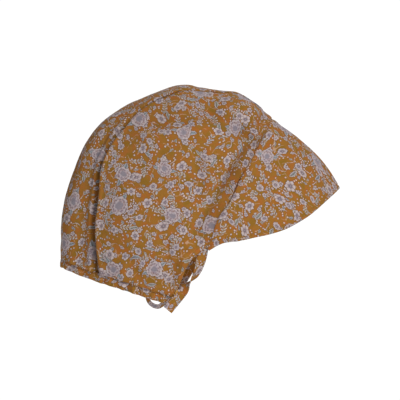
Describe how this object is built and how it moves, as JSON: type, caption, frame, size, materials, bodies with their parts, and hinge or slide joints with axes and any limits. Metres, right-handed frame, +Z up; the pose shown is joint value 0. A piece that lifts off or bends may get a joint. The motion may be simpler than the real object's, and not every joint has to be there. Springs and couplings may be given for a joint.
{
  "type": "child's peaked sun bonnet",
  "caption": "Soft cloth sun bonnet with a long curved peak, a crown of side panels and a centre panel, a gathered neck flap and a tape tie at each side.",
  "frame": {"origin": "where the top of the head meets the inside of the crown", "axes": "+X forward along the peak, +Y to the wearer's left, +Z up"},
  "size_m": [0.2805, 0.142, 0.228],
  "materials": {
    "print_cotton": "matte woven cotton with a small floral print, lined",
    "print_tape": "the same printed cotton, folded and stitched to a narrow tape"
  },
  "bodies": {
    "root": {"side_panel_right": "print_cotton", "side_panel_left": "print_cotton", "centre_panel": "print_cotton", "peak": "print_cotton", "neck_casing": "print_cotton", "tie_right": "print_tape", "tie_left": "print_tape"}
  },
  "joints": []
}
